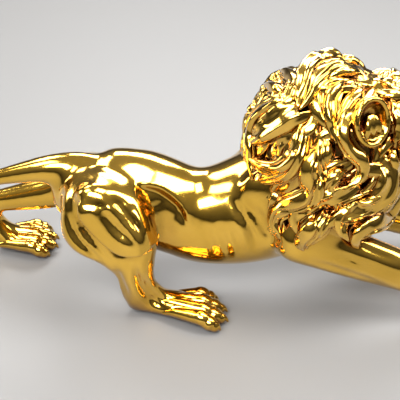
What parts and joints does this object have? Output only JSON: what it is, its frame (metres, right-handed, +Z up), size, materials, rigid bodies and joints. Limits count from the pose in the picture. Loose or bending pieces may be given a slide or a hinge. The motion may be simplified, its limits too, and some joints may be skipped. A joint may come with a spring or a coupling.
{
  "type": "lion figurine",
  "caption": "Prowling lion with a full curled mane, one gilded casting that stands on its own paws as a shelf or desk ornament.",
  "frame": {"origin": "on the ground under the middle of the lion's bounding box", "axes": "+X from tail to head, +Y towards the lion's left side, +Z up"},
  "size_m": [0.3792, 0.1074, 0.1542],
  "materials": {
    "gilding": "mirror-polished gold plating"
  },
  "bodies": {
    "root": {"lion": "gilding"}
  },
  "joints": []
}
